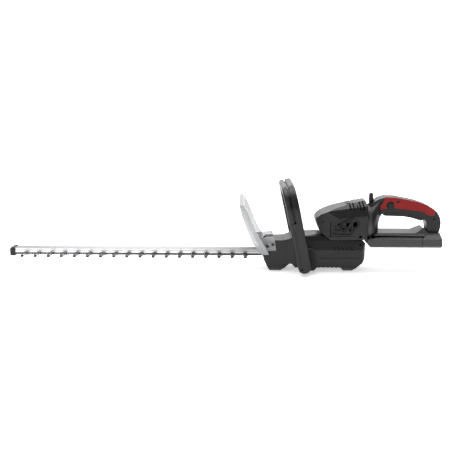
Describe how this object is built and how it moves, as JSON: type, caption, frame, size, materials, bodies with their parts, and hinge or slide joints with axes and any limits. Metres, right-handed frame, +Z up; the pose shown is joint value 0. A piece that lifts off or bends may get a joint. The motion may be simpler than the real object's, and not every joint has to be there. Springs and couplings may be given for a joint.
{
  "type": "cordless hedge trimmer",
  "caption": "Cordless hedge trimmer: a long double-sided reciprocating blade, clear hand shield, loop handle, swivelling rear handle and slide-in battery.",
  "frame": {"origin": "centre of the bounding box, on the ground under the two feet", "axes": "+X along the blade towards the battery, the blade's tip at -X; +Y towards the operator's right; +Z up"},
  "size_m": [1.027, 0.2, 0.2128],
  "materials": {
    "moulded_black": "fine textured charcoal moulding",
    "dark_trim": "deep black moulding",
    "rubber_pad": "ribbed rubber",
    "grey_moulding": "mid grey moulding",
    "red_grip": "soft red overmould",
    "red_latch": "satin red",
    "bar_aluminium": "brushed extrusion",
    "cast_aluminium": "cast",
    "blade_steel": "dark blade steel with ground teeth",
    "bright_steel": "zinc plated",
    "gear_steel": "sintered",
    "magnet": "ferrite",
    "bronze": "sintered bronze and copper",
    "carbon": "carbon",
    "winding": "enamelled copper",
    "board_green": "circuit board",
    "clear_shield": "clear polycarbonate",
    "bush_plastic": "natural acetal",
    "cell_wrap": "cell wrap"
  },
  "bodies": {
    "chassis": {"guide_bar": "bar_aluminium", "tip_guard": "moulded_black", "blade_screws": "bright_steel", "blade_washers": "bright_steel", "blade_guide_plate": "bright_steel", "blade_wiper": "rubber_pad", "gear_case": "cast_aluminium", "gear_case_cover": "cast_aluminium", "case_screws": "bright_steel", "crank_bearings": "bright_steel", "motor_can": "bright_steel", "motor_magnets": "magnet", "motor_end_cap": "dark_trim", "motor_bushes": "bronze", "motor_brushes": "carbon", "control_board": "board_green", "body_shell_left": "moulded_black", "body_shell_right": "moulded_black", "motor_cover_left": "moulded_black", "motor_cover_right": "moulded_black", "vent_panel_left": "dark_trim", "vent_panel_right": "dark_trim", "body_screws": "bright_steel", "hand_shield": "clear_shield", "shield_screws": "bright_steel", "loop_shell": "moulded_black", "loop_pads": "rubber_pad", "loop_screws": "bright_steel", "front_micro_switch": "dark_trim", "swivel_spigot": "grey_moulding", "swivel_retainer": "bright_steel", "retainer_screws": "bright_steel"},
    "upper_blade": {"upper_blade": "blade_steel"},
    "lower_blade": {"lower_blade": "blade_steel"},
    "crank": {"crank_shaft": "bright_steel", "drive_gear": "gear_steel", "cams": "bright_steel"},
    "rotor": {"motor_shaft": "bright_steel", "motor_pinion": "bright_steel", "armature": "winding", "commutator": "bronze", "cooling_fan": "dark_trim"},
    "switch_bar": {"front_switch_bar": "dark_trim"},
    "rear_handle": {"swivel_bush": "bush_plastic", "swivel_collar": "grey_moulding", "rear_handle_left": "moulded_black", "rear_handle_right": "moulded_black", "grip_left": "red_grip", "grip_right": "red_grip", "handle_screws": "bright_steel", "trigger_pin": "bright_steel", "main_switch": "dark_trim", "battery_bay": "grey_moulding", "terminal_block": "dark_trim"},
    "release_lever": {"swivel_release": "dark_trim"},
    "trigger": {"trigger": "dark_trim"},
    "lock_off": {"lock_off_button": "dark_trim"},
    "battery": {"battery_case": "grey_moulding", "battery_cells": "cell_wrap"},
    "latch": {"battery_latch": "red_latch"}
  },
  "joints": [
    {"name": "motor_spin", "type": "hinge", "parent": "chassis", "child": "rotor", "pos_m": [0.27555, 0, 0.08], "axis": [0, 0, 1], "range_deg": [-450, 450]},
    {"name": "crank_spin", "type": "hinge", "parent": "chassis", "child": "crank", "pos_m": [0.23955, 0, 0.045], "axis": [0, 0, 1], "range_deg": [-90, 90]},
    {"name": "upper_blade_stroke", "type": "slide", "parent": "chassis", "child": "upper_blade", "axis": [1, 0, 0], "range_m": [-0.008, 0.008]},
    {"name": "lower_blade_stroke", "type": "slide", "parent": "chassis", "child": "lower_blade", "axis": [1, 0, 0], "range_m": [-0.008, 0.008]},
    {"name": "switch_bar_press", "type": "slide", "parent": "chassis", "child": "switch_bar", "axis": [0.9763, 0, 0.2164], "range_m": [0, 0.003], "stiffness_N_per_m": 900, "springref_m": -0.003},
    {"name": "handle_swivel", "type": "hinge", "parent": "chassis", "child": "rear_handle", "pos_m": [0.33855, 0, 0.114], "axis": [1, 0, 0], "range_deg": [-90, 90]},
    {"name": "swivel_release_pull", "type": "hinge", "parent": "rear_handle", "child": "release_lever", "pos_m": [0.35155, 0, 0.153], "axis": [0, 1, 0], "range_deg": [-8, 0], "stiffness_Nm_per_rad": 0.4, "springref_deg": 8.59},
    {"name": "trigger_pull", "type": "hinge", "parent": "rear_handle", "child": "trigger", "pos_m": [0.47055, 0, 0.134], "axis": [0, 1, 0], "range_deg": [0, 5], "stiffness_Nm_per_rad": 0.8, "springref_deg": -6.88},
    {"name": "lock_off_push", "type": "slide", "parent": "rear_handle", "child": "lock_off", "axis": [0, 1, 0], "range_m": [-0.003, 0.003], "stiffness_N_per_m": 500},
    {"name": "battery_slide", "type": "slide", "parent": "rear_handle", "child": "battery", "axis": [1, 0, 0], "range_m": [0, 0.15]},
    {"name": "latch_press", "type": "slide", "parent": "battery", "child": "latch", "axis": [0, 0, -1], "range_m": [0, 0.003], "stiffness_N_per_m": 500, "springref_m": -0.002}
  ],
  "couplings": [
    {"joint": "motor_spin", "follows": "upper_blade_stroke", "rad_per_m": 981.7},
    {"joint": "crank_spin", "follows": "upper_blade_stroke", "rad_per_m": -196.34},
    {"joint": "lower_blade_stroke", "follows": "upper_blade_stroke", "ratio": -1}
  ]
}
